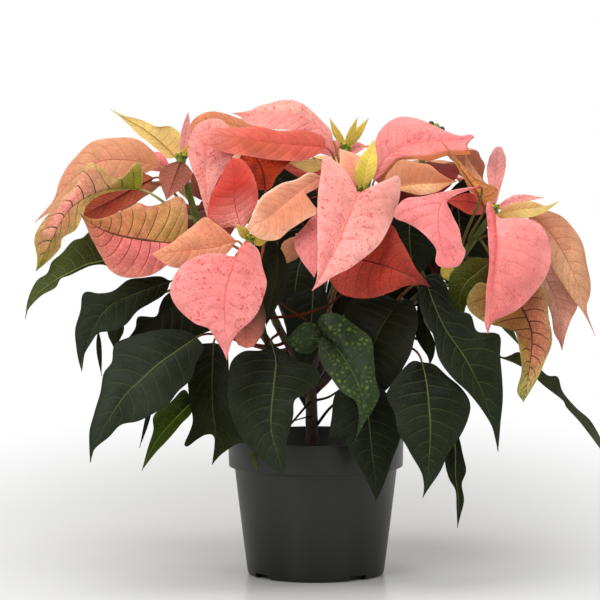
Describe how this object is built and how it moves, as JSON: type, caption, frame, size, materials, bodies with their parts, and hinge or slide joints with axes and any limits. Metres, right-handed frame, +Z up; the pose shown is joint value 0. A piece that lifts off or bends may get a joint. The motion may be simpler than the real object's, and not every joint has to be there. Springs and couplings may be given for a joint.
{
  "type": "potted poinsettia",
  "caption": "Bushy poinsettia with marbled pink, coral and tan bracts over dark green leaves, on a short branched stem in a plain round nursery pot",
  "frame": {"origin": "middle of the pot's flat base, on the surface it stands on", "axes": "+Z up, the side with the large hanging front bracts faces -Y, +X to the right of it"},
  "size_m": [0.5481, 0.403, 0.4495],
  "materials": {
    "bract_pink": "soft pink bract with fine veins and small red flecks",
    "bract_coral": "deep coral bract, matt",
    "bract_tan": "peach and tan bract with darker veins",
    "bract_yellow": "young yellow bract, matt",
    "bract_marbled": "pink bract marbled with lime and dark green veins",
    "leaf_dark": "dark green leaf with pale veins, slight sheen",
    "leaf_green": "olive green underside, matt",
    "leaf_mottled": "bright green leaf mottled with lighter green",
    "bark": "reddish brown woody stem",
    "flower_green": "yellow-green flower cups and young bracts",
    "potting_soil": "dark crumbly potting mix",
    "pot_plastic": "dark grey moulded plastic, satin matt"
  },
  "bodies": {
    "root": {"pot": "pot_plastic", "potting_soil": "potting_soil", "stem": "bark", "bract_01": "bract_yellow", "bract_02": "bract_tan", "bract_03": "bract_marbled", "bract_04": "bract_coral", "bract_05": "bract_marbled", "bract_06": "bract_tan", "bract_07": "bract_pink", "bract_08": "bract_coral", "bract_09": "bract_tan", "bract_10": "bract_pink", "bract_11": "bract_coral", "bract_12": "bract_coral", "bract_13": "bract_tan", "bract_14": "bract_pink", "bract_15": "bract_pink", "bract_16": "bract_pink", "bract_17": "bract_tan", "bract_18": "bract_pink", "bract_19": "bract_coral", "bract_20": "bract_yellow", "bract_21": "bract_yellow", "bract_22": "bract_pink", "bract_23": "bract_tan", "bract_24": "bract_coral", "bract_25": "bract_marbled", "leaf_01": "leaf_green", "leaf_02": "leaf_dark", "leaf_03": "leaf_dark", "leaf_04": "leaf_green", "leaf_05": "leaf_green", "leaf_06": "leaf_dark", "leaf_07": "leaf_mottled", "leaf_08": "leaf_dark", "leaf_09": "leaf_dark", "leaf_10": "leaf_dark", "leaf_11": "leaf_dark", "leaf_12": "leaf_green", "leaf_13": "leaf_dark", "leaf_14": "leaf_dark", "leaf_15": "leaf_dark", "leaf_17": "leaf_green", "leaf_16": "leaf_dark", "spray_back_left": "bract_pink", "spray_back_right": "bract_pink", "spray_side_right": "bract_coral", "spray_side_left": "bract_pink", "foliage_back_left": "leaf_dark", "foliage_back_middle": "leaf_dark", "foliage_back_right": "leaf_dark", "foliage_right": "leaf_dark", "foliage_inner_left": "leaf_dark", "foliage_inner_right": "leaf_dark", "flower_head_left": "flower_green", "flower_head_front": "flower_green", "flower_head_middle": "flower_green", "flower_head_top": "flower_green", "flower_head_right": "flower_green"}
  },
  "joints": []
}
